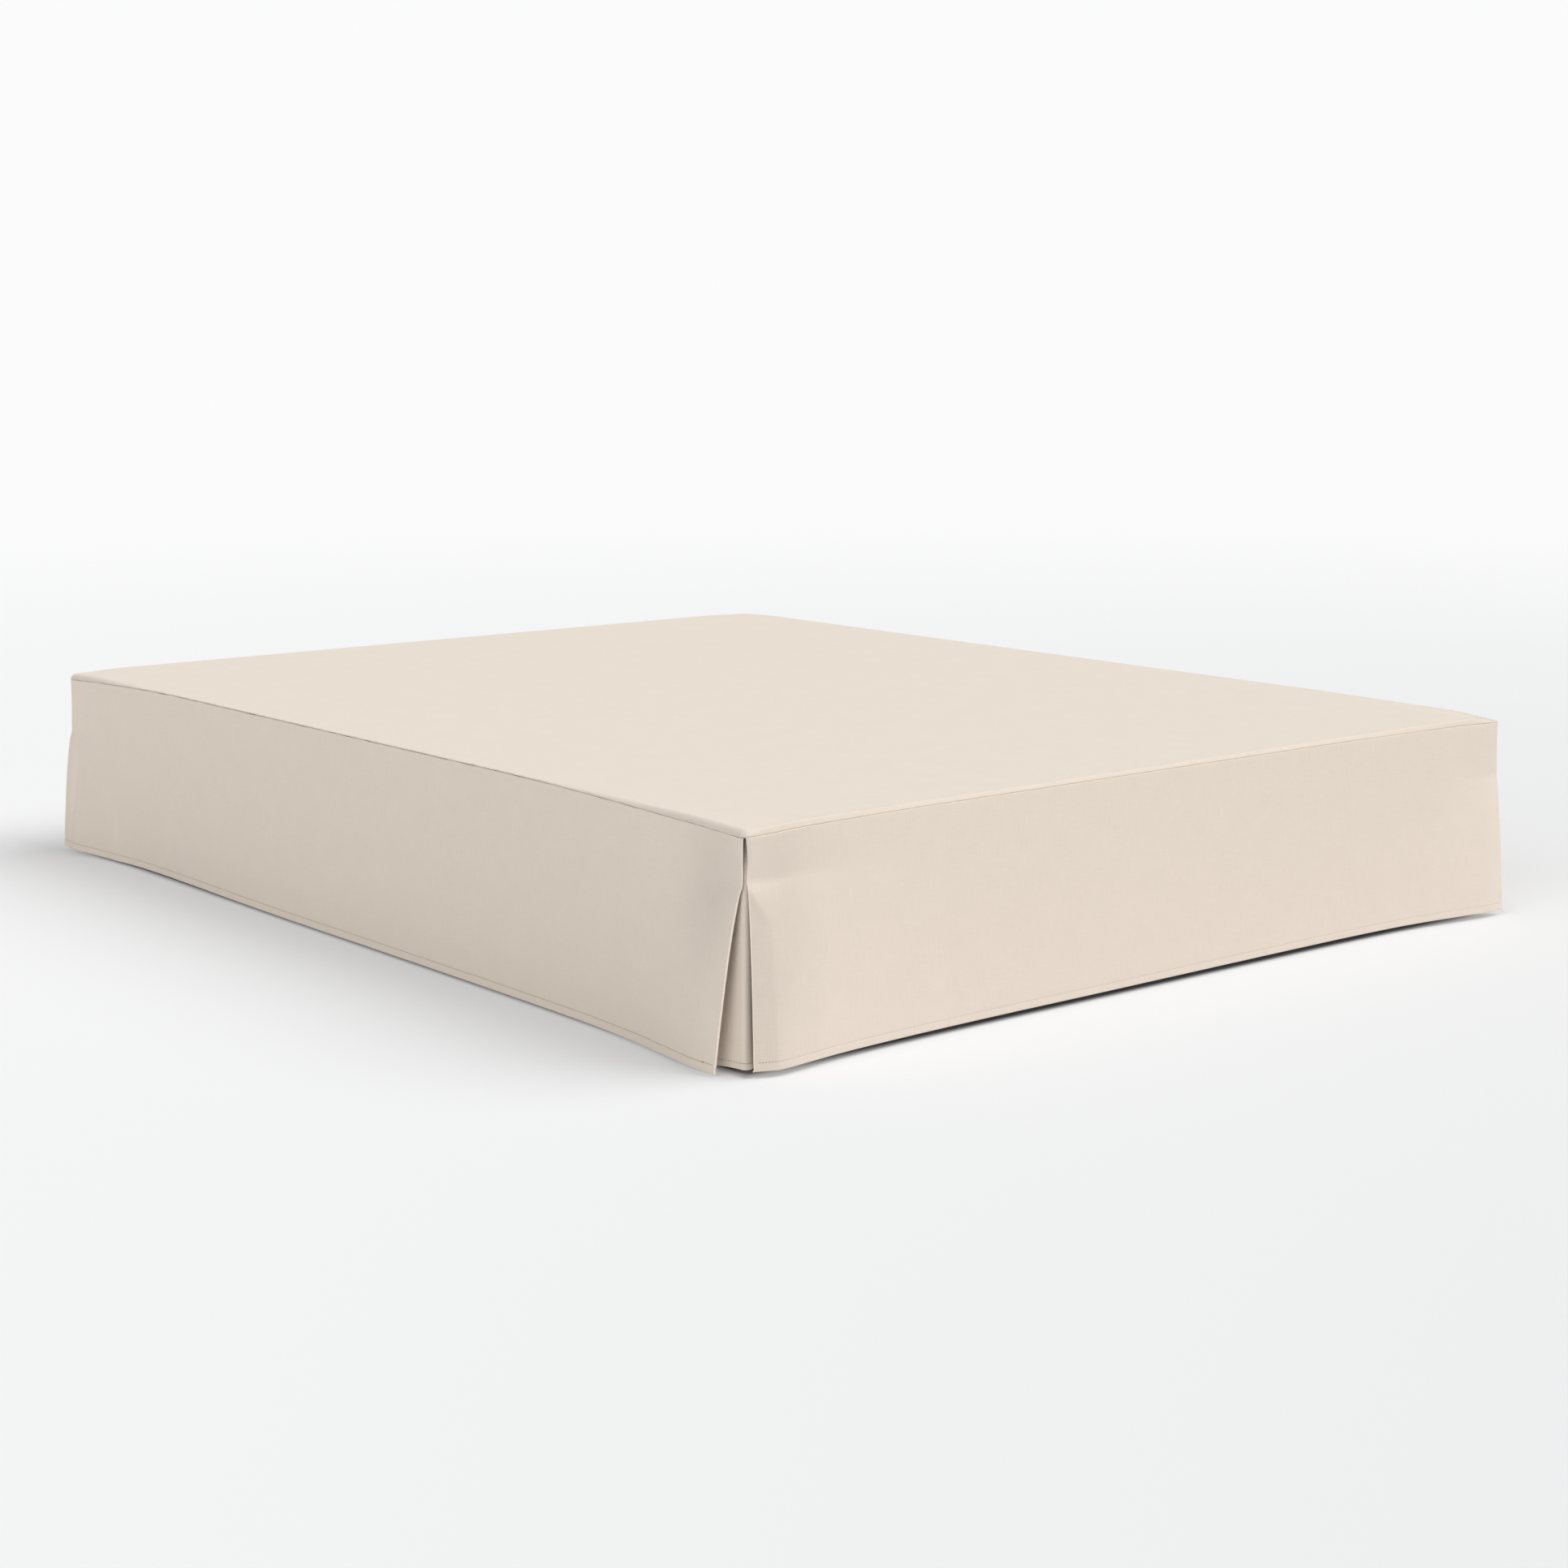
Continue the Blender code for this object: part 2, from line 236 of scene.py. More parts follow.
# The crisp fold that runs down the foot skirt beside the near slit: its height, how far the cloth's edge
# is drawn in beside it and moved along, its distance from the edge at the hem, the share of the open
# height over which it gets there, and its fall and rounding
FOOT_PINCH = ENDS["foot", "start"].pinch
FOLD_HEIGHT = 1.0 * MM
FOLD_DRAW = 9.5 * MM
FOLD_SHIFT = 4.5 * MM
FOLD_SHIFT_REACH = 0.10
FOLD_PLACE = 0.032
FOLD_NEAREST = FOLD_PLACE / 20
FOLD_SPREAD = 0.25
FOLD_FALL = 0.120
FOLD_ROUND = 0.04

# Share of the thread's thickness that shows on each skirt, and how far from its start it shows more
STITCH_SHOWS = {"left": 1.0, "foot": 0.45, "right": 0.8, "head": 0.8}
TIP_SHOWS = 0.06

# Small overlapped stitches at which the hem's seam starts: distances from the start of each skirt, how many
# there are and how much thicker they look. The stitches stand out by STITCH_RISE of the thread, and a hem's
# row ends STITCH_MARGIN times its fold's radius from the edges.
BACKTACKS = {"left": (0.026,), "foot": (), "right": (0.030,), "head": (0.028,)}
BACKTACK_STITCHES = 3
BACKTACK_SWELL = 1.8
STITCH_RISE = 0.2
STITCH_MARGIN = 4

# Camera, from the photo's vanishing lines, and the stage
IMAGE_SIDE = 1932
FOCAL_PIXELS = 3401.6
CAMERA_PLACE = (-3.0009, -3.7697, 0.6736)
CAMERA_YAW = math.radians(50.678)
CAMERA_PITCH = math.radians(9.849)
SENSOR = 36.0
FLOOR_LEVEL = -0.334
FLOOR_RADIUS = 40.0
BACKDROP = "#FBFBFC"
SKY = "#959799"

# The floor's glow, FLOOR_PAINTED_LIGHT, is painted light that keeps the shadows on it pale. It is cut off
# under the cover as painted shadow, from SHADOW_MASK_INSIDE within its sides to SHADOW_MASK_OUTSIDE past
# them. Also listed are the distances between which the floor fades into the backdrop
FLOOR_PAINTED_LIGHT = 0.25
SHADOW_MASK_INSIDE = 0.015
SHADOW_MASK_OUTSIDE = 0.005
FADE_START = 2.0
FADE_END = 9.0

# Soft lights: the way from the object to each, its strength and its angular size
Lamp = namedtuple("Lamp", "way strength angle")
LAMPS = {
    "key light": Lamp((0.490, -0.405, 0.772), 2.70, math.radians(50)),
    "fill light": Lamp((-0.875, -0.235, 0.423), 1.00, math.radians(50)),
}


class CoverSizes(bpy.types.PropertyGroup):
    """Sizes of the cloth and its sewing."""

    cloth: FloatProperty(
        name="Cloth thickness", description="Thickness of one layer of cloth", default=0.9 * MM, min=0.0002,
        unit="LENGTH")
    fold: FloatProperty(
        name="Hem fold radius", description="Radius at which the hems are folded",
        default=1.3 * MM, min=0.0003, unit="LENGTH")
    stitch_pitch: FloatProperty(
        name="Stitch pitch", description="Distance from stitch to stitch along a hem", default=4.2 * MM,
        min=0.001, unit="LENGTH")
    stitch_length: FloatProperty(
        name="Stitch length", description="Length of one stitch", default=2.9 * MM, min=0.0005,
        unit="LENGTH")
    thread: FloatProperty(
        name="Thread thickness", description="Thickness of the sewing thread", default=0.8 * MM,
        min=0.0001, unit="LENGTH")
    weave_pitch: FloatProperty(
        name="Weave pitch", description="Spacing of the threads of the weave as drawn",
        default=1.2 * MM, min=0.0002, unit="LENGTH")


def linear(hex_colour):
    """Linear red, green and blue of an sRGB hex colour."""
    parts = [int(hex_colour[i:i + 2], 16) / 255 for i in (1, 3, 5)]
    return tuple(c / 12.92 if c <= 0.04045 else ((c + 0.055) / 1.055) ** 2.4 for c in parts)


class CoverColours(bpy.types.PropertyGroup):
    """Colours of the cover and its stage."""

    cloth: FloatVectorProperty(
        name="Cloth", description="Colour of the cotton cloth", default=linear("#E3D6C8"), subtype="COLOR",
        min=0.0, max=1.0)
    # Darker than the cloth: partly the thread's own colour, partly painted shade of the stitch holes
    thread: FloatVectorProperty(
        name="Thread", description="Colour of the sewing thread", default=linear("#7D6A5A"), subtype="COLOR",
        min=0.0, max=1.0)
    floor: FloatVectorProperty(
        name="Floor", description="Colour of the floor", default=linear("#C8C8C8"), subtype="COLOR",
        min=0.0, max=1.0)


def smooth(value):
    """Smoothstep of a value held between 0 and 1."""
    t = min(max(value, 0.0), 1.0)
    return t * t * (3 - 2 * t)


def bell(value):
    """Soft bump of height 1 at 0."""
    return math.exp(-value * value)


def uneven(x, y, z):
    """Smooth noise between about -1 and 1, the same each time."""
    return noise.noise(Vector((x, y, z)))


def graded(length, first, growth, largest):
    """Distances from 0 to length, first apart at 0 and growing further apart, up to largest."""
    places, step = [0.0], first
    while places[-1] < length:
        places.append(places[-1] + step)
        step = min(step * growth, largest)
    return [place * length / places[-1] for place in places]


def corner_droop(x, y):
    """Height that the top loses close to its corners."""
    away = math.hypot(HALF_WIDTH - abs(x), HALF_LENGTH - abs(y))
    return CORNER_DROOP * smooth(1 - away / DROOP_REACH)


def right_sag(x, y):
    """Height that the top's face loses at the right corner, where the cloth sags down to its seam."""
    beside = max(HALF_WIDTH - ROLL - x, 0.0)
    behind = max(HALF_LENGTH - ROLL + y, 0.0)
    sag = SAG_NEAR * smooth(1 - behind / SAG_NEAR_REACH) + SAG_FAR * smooth(1 - behind / SAG_FAR_REACH)
    return sag * smooth(1 - beside / SAG_WIDTH)


def seam_angle(side, along):
    """Angle on the rounded edge, from level, at which the seam lies."""
    rise = smooth((side.half + along) / side.rise_start) * smooth((side.half - along) / side.rise_end)
    return CORNER_ROLL_ANGLE + (side.seam_angle - CORNER_ROLL_ANGLE) * rise


def seam_level(side, along, x, y):
    """Level of the outer face at the seam."""
    return TOP_LEVEL - ROLL * (1 - math.cos(seam_angle(side, along))) - corner_droop(x, y)


def roll_path(angle, sharp, share):
    """Way out and way down to a share of the top's rounded edge, a tighter arc where it is sharp."""
    straight = ROLL * math.tan(angle / 2) * sharp
    radius = ROLL * (1 - sharp)
    walk = share * (2 * straight + radius * angle)
    level = min(walk, straight)
    turned = min(max((walk - straight) / radius, 0.0), angle)
    steep = max(walk - straight - radius * angle, 0.0)
    out = level + radius * math.sin(turned) + steep * math.cos(angle)
    return out, radius * (1 - math.cos(turned)) + steep * math.sin(angle)


def piece_of(name, bm, material):
    """Object with the mesh that bm holds, smooth and of one material."""
    mesh = bpy.data.meshes.new(name)
    bm.to_mesh(mesh)
    bm.free()
    mesh.shade_smooth()
    mesh.materials.append(material)
    piece = bpy.data.objects.new(name, mesh)
    bpy.context.scene.collection.objects.link(piece)
    return piece


def cloth_piece(name, columns, rows, place, outward, thickness, material):
    """Closed sheet of cloth: a grid placed by place(i, j), which gives a point, then its place on the flat
    cloth and its painted shading: above 0 a painted highlight along folds, below 0 painted shade."""
    bm = bmesh.new()
    bmesh.ops.create_grid(bm, x_segments=columns, y_segments=rows, size=1.0)
    on_cloth = bm.verts.layers.float_vector.new("cloth")
    for vert in bm.verts:
        i = round((vert.co.x + 1) / 2 * columns)
        j = round((vert.co.y + 1) / 2 * rows)
        vert.co, flat = place(i, j)
        vert[on_cloth] = flat
    bm.normal_update()
    facing = sum((face.normal for face in bm.faces), Vector())
    if facing.dot(outward) < 0:
        bmesh.ops.reverse_faces(bm, faces=bm.faces)
    piece = piece_of(name, bm, material)
    solidify = piece.modifiers.new("cloth thickness", "SOLIDIFY")
    solidify.thickness = thickness
    solidify.offset = -1.0
    return piece


def dress(piece, node):
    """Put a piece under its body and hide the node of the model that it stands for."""
    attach(piece, BODY)
    if node:
        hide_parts(node)


def top_columns(half):
    """Grid lines of the top across one axis: (place before rolling, signed share of the roll, lip)."""
    level = [half - ROLL - at for at in graded(half - ROLL, first=1.5 * MM, growth=1.18, largest=16 * MM)]
    rolled = [(half - ROLL, step / ROLL_STEPS, 0.0) for step in range(1, ROLL_STEPS + 1)]
    rolled += [(half - ROLL, 1.0, step / LIP_STEPS) for step in range(1, LIP_STEPS + 1)]
    right = [(at, 0.0, 0.0) for at in level[::-1]] + rolled
    return [(-at, -share, lip) for at, share, lip in right[:0:-1]] + right


def top_place(across, lengthways):
    """Function that places the top's grid: nearly level, rolled down to the seam and turned in there."""

    def place(i, j):
        x, share_x, lip_x = across[i]
        y, share_y, lip_y = lengthways[j]
        share = max(abs(share_x), abs(share_y))
        lip = max(lip_x, lip_y)
        level = TOP_LEVEL
        flat = [x, y, 0.0]
        if share:
            if abs(share_x) + lip_x >= abs(share_y) + lip_y:
                side, along = SIDES["right" if share_x > 0 else "left"], y
            else:
                side, along = SIDES["head" if share_y > 0 else "foot"], x
            angle = seam_angle(side, along)
            turned = angle + LIP_TURN * lip
            size = math.hypot(share_x, share_y)
            from_corner = side.half - abs(along)
            sharp = ROLL_SHARPNESS[side.outward] * smooth(from_corner / SHARP_REACH)
            out, down = roll_path(angle, sharp, share)
            out += SEAM_LIP * (math.sin(turned) - math.sin(angle))
            level -= down - SEAM_LIP * (math.cos(turned) - math.cos(angle))
            x += out * share_x / size
            y += out * share_y / size
            run = ROLL * angle * share + SEAM_LIP * LIP_TURN * lip
            # Painted shade: the rounding is painted darker towards its seam, most where it turns furthest
            painted_shading = ROLL_PAINTED_SHADE * smooth(share / ROLL_PAINTED_SHADE_START) * min(angle, 1.0)
            flat = [flat[0] + run * share_x / size, flat[1] + run * share_y / size, -painted_shading]
            level += PUCKER * share * uneven(along / PUCKER_LENGTH, ROLL_NOISE, 0.0)
        edge = min(HALF_WIDTH - abs(x), HALF_LENGTH - abs(y))
        wave = uneven(x / WAVE_LENGTH, y / WAVE_LENGTH, TOP_NOISE)
        level += TOP_WAVE * smooth(edge / TOP_WAVE_MARGIN) * wave
        level -= corner_droop(x, y) + right_sag(x, y) * (1 - share)
        return Vector((x, y, level)), flat

    return place


def end_swing(end, away, share, drop):
    """Outward swing and backward shift of a skirt's end, away from its edge and at a share of the drop."""
    depth = share * drop
    below = max(depth - end.pinch, 0.0) / (drop - end.pinch)
    opened = below ** end.power
    ridge = end.ridge * max(below, RIDGE_FLOOR) ** RIDGE_POWER
    if away < ridge:
        across = end.edge_share + (1 - end.edge_share) * math.sin(math.pi / 2 * away / ridge)
    else:
        run = (away - ridge) / (end.decay * (FADE_AT_PINCH + (1 - FADE_AT_PINCH) * opened))
        across = math.exp(end.softness - math.hypot(run, end.softness))
    swing = end.flare * opened * across
    dipped = smooth((away - PLEAT_LEG) / DIP_START) * bell((away - DIP_PLACE) / DIP_WIDTH)
    swing -= end.dip * share * dipped
    parted = min(depth / end.pinch, 1.0)
    back = end.slit * parted + end.gape * math.sin(math.pi * parted) + end.shift * opened
    return swing, back * math.exp(-away / SHIFT_REACH)


def relief(listed, from_start, from_end, depth):
    """Sum of the heights of the listed creases at a place on a skirt."""
    height = 0.0
    for crease in listed:
        away = from_start if crease.end == "start" else from_end
        lean = math.radians(crease.lean)
        aside, down = away - crease.from_end, depth - crease.depth
        across = aside * math.cos(lean) - down * math.sin(lean)
        along = aside * math.sin(lean) + down * math.cos(lean)
        height += crease.height * bell(across / crease.width) * bell(along / crease.length)
    return height


def slit_fold(from_start, below):
    """Outward and forward shift at the crisp fold beside the near slit, at a share of the open height."""
    if below <= 0.0:
        return 0.0, 0.0
    place = FOLD_PLACE * smooth(below / FOLD_SPREAD) + FOLD_NEAREST
    opened = math.sqrt(below)
    run = (from_start - place) / (FOLD_FALL if from_start > place else place)
    out = FOLD_HEIGHT * max(1.0 + FOLD_ROUND - math.hypot(run, FOLD_ROUND), 0.0)
    if from_start < place:
        out -= FOLD_DRAW * (math.hypot(run, FOLD_ROUND) - FOLD_ROUND)
    return out * opened, FOLD_SHIFT * opened * math.exp(-from_start / FOLD_SHIFT_REACH)


def hem_levels(fold):
    """Distances above the hem of the grid lines in the hem zone, down to its fold."""
    levels = [HEM_ZONE * (1 - step / HEM_STEPS) for step in range(1, HEM_STEPS + 1)]
    return [level for level in levels if level > fold]


def hem_relief(above_hem, fold_height, groove, along, number):
    """Outward height of the folded hem, with its groove and puckers at the stitches."""
    doubled = HEM_SWELL * smooth((fold_height + GROOVE_WIDTH - above_hem) / (2 * GROOVE_WIDTH))
    near = bell((above_hem - fold_height) / GROOVE_WIDTH)
    pucker = PUCKER * bell((above_hem - fold_height) / (PUCKER_SPREAD * GROOVE_WIDTH))
    return doubled - groove * near + pucker * uneven(along / PUCKER_LENGTH, HEM_NOISE + number, 0.0)


class SkirtFace:
    """Outer face of one skirt, by distance along it from its middle and by depth below its seam."""

    def __init__(self, name, fold):
        self.name = name
        self.number = list(SIDES).index(name)
        self.side = SIDES[name]
        self.fold = fold
        self.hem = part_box("skirt_" + name)[0].z
        self.outward = Vector((*self.side.outward, 0))
        self.ahead = Vector((abs(self.side.outward[1]), abs(self.side.outward[0]), 0))
        self.straight = self.side.half - ROLL
        self.reach = self.straight + ROLL * math.pi / 4 - LAYER_GAP

    def top(self, at):
        """Level of the skirt's upper edge."""
        along = max(-self.straight, min(self.straight, at))
        under = self.outward * self.side.across + self.ahead * along
        gap = SEAM_GAPS[self.name] * (1 + SEAM_UNEVEN * uneven(at / SEAM_WANDER, SEAM_NOISE, 0.0))
        gap *= max(math.cos(seam_angle(self.side, along)), SEAM_GAP_LEAST)
        return seam_level(self.side, along, under.x, under.y) - LIP_DROP * SEAM_LIP - gap

    def hem_at(self, at):
        """Level of the hem, which lifts a little towards the skirt's end."""
        lift = HEM_LIFTS.get(self.name, 0.0)
        return self.hem + lift * smooth(1 - (self.reach - at) / HEM_LIFT_REACH)

    def point(self, at, depth):
        """Point of the face, and the angle by which it is turned round the corner."""
        along = max(-self.straight, min(self.straight, at))
        turn = (at - along) / ROLL
        level = self.top(at)
        drop = level - self.hem_at(at)
        share = depth / drop
        angle = seam_angle(self.side, along)
        radius = ROLL - ROLL * (1 - math.sin(angle)) * (1 - share)
        from_start = self.straight + ROLL * math.pi / 4 + at
        from_end = self.straight + ROLL * math.pi / 4 - at
        swing_start, back_start = end_swing(ENDS[self.name, "start"], from_start, share, drop)
        swing_end, back_end = end_swing(ENDS[self.name, "end"], from_end, share, drop)
        pinch = ENDS[self.name, "start" if turn < 0 else "end"].pinch
        unrolled = smooth(depth / pinch)
        out = self.side.across - ROLL + swing_start + swing_end
        out += radius * (math.cos(turn) * (1 - unrolled) + unrolled)
        out += relief(CREASES[self.name], from_start, from_end, depth)
        folded, moved = 0.0, 0.0
        if self.name == "foot":
            folded, moved = slit_fold(from_start, (depth - FOOT_PINCH) / (drop - FOOT_PINCH))
        out += hem_relief(drop - depth, HEM_FOLD, STITCH_GROOVES[self.name], at, self.number)
        wave = uneven(at / WAVE_LENGTH, depth / WAVE_LENGTH, SKIRT_NOISE + self.number)
        out += folded + WAVE * share * wave
        forward = along + back_start - back_end + moved
        forward += radius * math.sin(turn) * (1 - unrolled) + ROLL * turn * unrolled
        point = self.outward * out + self.ahead * forward
        point.z = level - depth
        return point, turn * (1 - unrolled)

    def stitch(self, at):
        """Place of a stitch at a distance along the skirt, and the way out of the cloth there."""
        point, tau = self.point(at, self.top(at) - self.hem_at(at) - HEM_FOLD)
        return point, self.outward * math.cos(tau) + self.ahead * math.sin(tau)

    def columns(self):
        """Grid lines along the skirt: (distance from its middle, turn of the folded edge)."""
        steps = graded(self.reach, first=1.2 * MM, growth=1.04, largest=7 * MM)
        right = [(self.reach - at, 0.0) for at in steps[::-1]]
        right += [(self.reach, EDGE_TURN * step / EDGE_STEPS) for step in range(1, EDGE_STEPS + 1)]
        return [(-at, turned) for at, turned in right[:0:-1]] + right

    def edge_fold(self, at, depth):
        """Radius of the folded free edge: tight above the pinch, looser below it."""
        pinch = ENDS[self.name, "start" if at < 0 else "end"].pinch
        looser = smooth((depth - pinch) / FOLD_OPENING)
        return TIGHT_FOLD + (EDGE_FOLDS[self.name] - TIGHT_FOLD) * looser

    def rows(self):
        """Grid lines down the skirt: (share of the open height, distance above the hem, turn of the lip or
        hem)."""
        rows = [(0.0, None, LIP_TURN * step / LIP_STEPS) for step in range(LIP_STEPS, 0, -1)]
        rows += [(share, None, 0.0) for share in graded(1.0, first=0.006, growth=1.15, largest=0.020)]
        rows += [(1.0, level, 0.0) for level in hem_levels(self.fold)]
        rows += [(1.0, self.fold, EDGE_TURN * step / TURN_STEPS) for step in range(TURN_STEPS + 1)]
        return rows

    def place(self, columns, rows):
        """Function that places the grid, with its edges folded in."""

        def place(i, j):
            at, edge = columns[i]
            share, above, turned = rows[j]
            drop = self.top(at) - self.hem_at(at)
            upper = SEAM_LIP
            if above is None:
                depth = upper + share * (drop - HEM_ZONE - upper)
            else:
                depth = drop - above
            edge_fold = self.edge_fold(at, depth)
            parted = 1 - smooth(depth / ENDS[self.name, "start" if at < 0 else "end"].pinch)
            inset = (edge_fold + SLIT_OPEN * parted) * abs(at) / self.reach
            point, tau = self.point(at - math.copysign(inset, at), depth)
            normal = self.outward * math.cos(tau) + self.ahead * math.sin(tau)
            tangent = self.ahead * math.cos(tau) - self.outward * math.sin(tau)
            radius = self.fold if above is not None else SEAM_LIP
            inward = max(edge_fold * (1 - math.cos(edge)), radius * (1 - math.cos(turned)))
            point += tangent * math.copysign(edge_fold * math.sin(edge), at)
            point -= normal * inward
            point.z += radius * math.sin(turned) * (1 if above is None else -1)
            # Folded edges and hems are painted paler: a painted highlight along their rims
            painted_fold_highlight = max(edge, turned) / EDGE_TURN
            # Painted shade in the listed patches, painted highlight along the listed creases
            painted_shade = relief(PAINTED_LIGHT_AND_SHADE.get(self.name, ()), self.reach + at, self.reach - at, depth)
            painted_shading = painted_fold_highlight or -painted_shade
            flat = (at + math.copysign(edge_fold * edge, at), depth + radius * turned, painted_shading)
            return point, flat

        return place


def hem_stitches(name, face, sizes, material):
    """Row of short stitches along the hem of a skirt or an insert, sunk a little into its groove."""
    bm = bmesh.new()
    half = face.reach - STITCH_MARGIN * sizes.fold
    count = round(2 * half / sizes.stitch_pitch)
    for number in range(count):
        at = -half + (number + 0.5) * 2 * half / count
        shows = STITCH_SHOWS.get(face.name, 1.0)
        shows += (1 - shows) * smooth(1 - (half + at) / TIP_SHOWS)
        place_stitch(bm, face, at, sizes, shows)
    for away in BACKTACKS.get(face.name, ()):
        for step in range(BACKTACK_STITCHES):
            at = -face.reach + away + step * sizes.thread
            place_stitch(bm, face, at, sizes, BACKTACK_SWELL)
    return piece_of(name, bm, material)


def place_stitch(bm, face, at, sizes, swell):
    """One stitch: a small stretched ball of thread lying along the hem."""
    point, outward = face.stitch(at)
    ahead, _ = face.stitch(at + sizes.stitch_length / 2)
    tangent = (ahead - point).normalized()
    upward = outward.cross(tangent).normalized()
    turn = Matrix((tangent, upward, tangent.cross(upward))).transposed().to_4x4()
    size = Matrix.Diagonal((sizes.stitch_length / 2, sizes.thread * swell / 2, sizes.thread * swell / 2, 1))
    matrix = Matrix.Translation(point + outward * sizes.thread * STITCH_RISE) @ turn @ size
    bmesh.ops.create_icosphere(bm, subdivisions=1, radius=1.0, matrix=matrix)


class PleatFace:
    """Outer face of the insert behind one corner slit, by leg distance and plan angle, and by depth."""

    def __init__(self, name, fold):
        self.name = name
        self.number = 4 + list(CORNERS).index(name)
        self.fold = fold
        self.corner = CORNERS[name]
        self.side_x = SIDES["left" if self.corner.x < 0 else "right"]
        self.side_y = SIDES["foot" if self.corner.y < 0 else "head"]
        low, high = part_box("pleat_" + name)
        self.hem, self.top = low.z, high.z
        self.reach = PLEAT_LEG + ROLL * math.pi / 4

    def point(self, leg, turn, depth):
        """Point of the insert's outer face."""
        corner, drop = self.corner, self.top - self.hem
        share = depth / drop
        if turn < math.pi / 4:
            angle = seam_angle(self.side_x, corner.y * (HALF_LENGTH - leg))
        else:
            angle = seam_angle(self.side_y, corner.x * (HALF_WIDTH - leg))
        radius = ROLL * (share + (1 - share) * math.sin(angle)) - PLEAT_SETBACK
        radius -= TUCK * bell(leg / TUCK_WIDTH) * (1 - smooth(depth / TUCK_REACH))
        lower = smooth((depth - CREASE_START) / CREASE_START)
        behind = smooth(leg / RECESS_START) if turn > math.pi / 4 else 0.0
        radius -= INSERT_RECESS * lower * behind * bell(leg / RECESS_WIDTH)
        run = leg if turn > math.pi / 4 else -leg
        groove = STITCH_GROOVES["left"]
        radius += hem_relief(drop - depth, PLEAT_HEM_FOLD, groove, run + ROLL * turn, self.number)
        swell = max(share - SWELL_TOP, 0.0) / (1 - SWELL_TOP)
        swell *= bell((leg - SWELL_PLACE) / SWELL_WIDTH)
        square = 1 - INSERT_CREASE * lower
        out_x = (radius + corner.swell_x * swell) * max(math.cos(turn), 0.0) ** square
        out_y = (radius + corner.swell_y * swell) * math.sin(turn) ** square
        back_x = leg if turn > math.pi / 4 else 0.0
        back_y = leg if turn < math.pi / 4 else 0.0
        x = corner.x * (HALF_WIDTH - ROLL + out_x - back_x)
        y = corner.y * (HALF_LENGTH - ROLL + out_y - back_y)
        return Vector((x, y, self.top - depth))

    def stitch(self, at):
        """Place of a stitch at a distance from the corner's middle, and the way out of the cloth there."""
        bend = ROLL * math.pi / 4
        turn = math.pi / 4 + max(-bend, min(bend, at)) / ROLL
        point = self.point(max(abs(at) - bend, 0.0), turn, self.top - self.hem - PLEAT_HEM_FOLD)
        return point, Vector((self.corner.x * math.cos(turn), self.corner.y * math.sin(turn), 0))

    def columns(self):
        """Grid lines round the corner: (distance along the leg, plan angle)."""
        legs = graded(PLEAT_LEG, first=1.5 * MM, growth=1.15, largest=4 * MM)
        turned = [math.pi / 2 * step / CORNER_STEPS for step in range(CORNER_STEPS + 1)]
        return ([(leg, 0.0) for leg in legs[:0:-1]] + [(0.0, angle) for angle in turned]
                + [(leg, math.pi / 2) for leg in legs[1:]])

    def rows(self):
        """Grid lines down the insert: (depth, turn of the folded hem)."""
        drop = self.top - self.hem
        rows = [(at, 0.0) for at in graded(drop - HEM_ZONE, first=2 * MM, growth=1.1, largest=6 * MM)]
        rows += [(drop - level, 0.0) for level in hem_levels(self.fold)]
        rows += [(drop - self.fold, EDGE_TURN * step / TURN_STEPS) for step in range(TURN_STEPS + 1)]
        return rows

    def place(self, columns, rows):
        """Function that places the grid, with its hem folded in."""

        def place(i, j):
            leg, turn = columns[i]
            depth, turned = rows[j]
            point = self.point(leg, turn, depth)
            inward = Vector((-self.corner.x * math.cos(turn), -self.corner.y * math.sin(turn), 0))
            point += inward * self.fold * (1 - math.cos(turned))
            point.z -= self.fold * math.sin(turned)
            run = (leg if turn > math.pi / 4 else -leg) + ROLL * (turn - math.pi / 4)
            # The folded hem of the insert is painted paler: a painted highlight along its rim
            return point, (run, depth + self.fold * turned, turned / EDGE_TURN)

        return place


def add_node(tree, kind, settings=None, inputs=None):
    """Node of a kind with its settings, and its inputs set to values or linked to other nodes' sockets."""
    node = tree.nodes.new(kind)
    for name, value in (settings or {}).items():
        setattr(node, name, value)
    for name, value in (inputs or {}).items():
        if isinstance(value, bpy.types.NodeSocket):
            tree.links.new(value, node.inputs[name])
        else:
            node.inputs[name].default_value = value
    return node


def empty_material(name):
    """Material with an empty node tree and its output."""
    material = bpy.data.materials.new(name)
    material.use_nodes = True
    material.node_tree.nodes.clear()
    return material, material.node_tree


# Distance at which Blender's wave texture repeats at scale 1, and the sizes of the cloth's slubs and mottle
WAVE_REPEAT = 2 * math.pi / 20
SLUB_LENGTH = 0.030
SLUB_WIDTH = 0.0016
MOTTLE_SIZE = 0.055


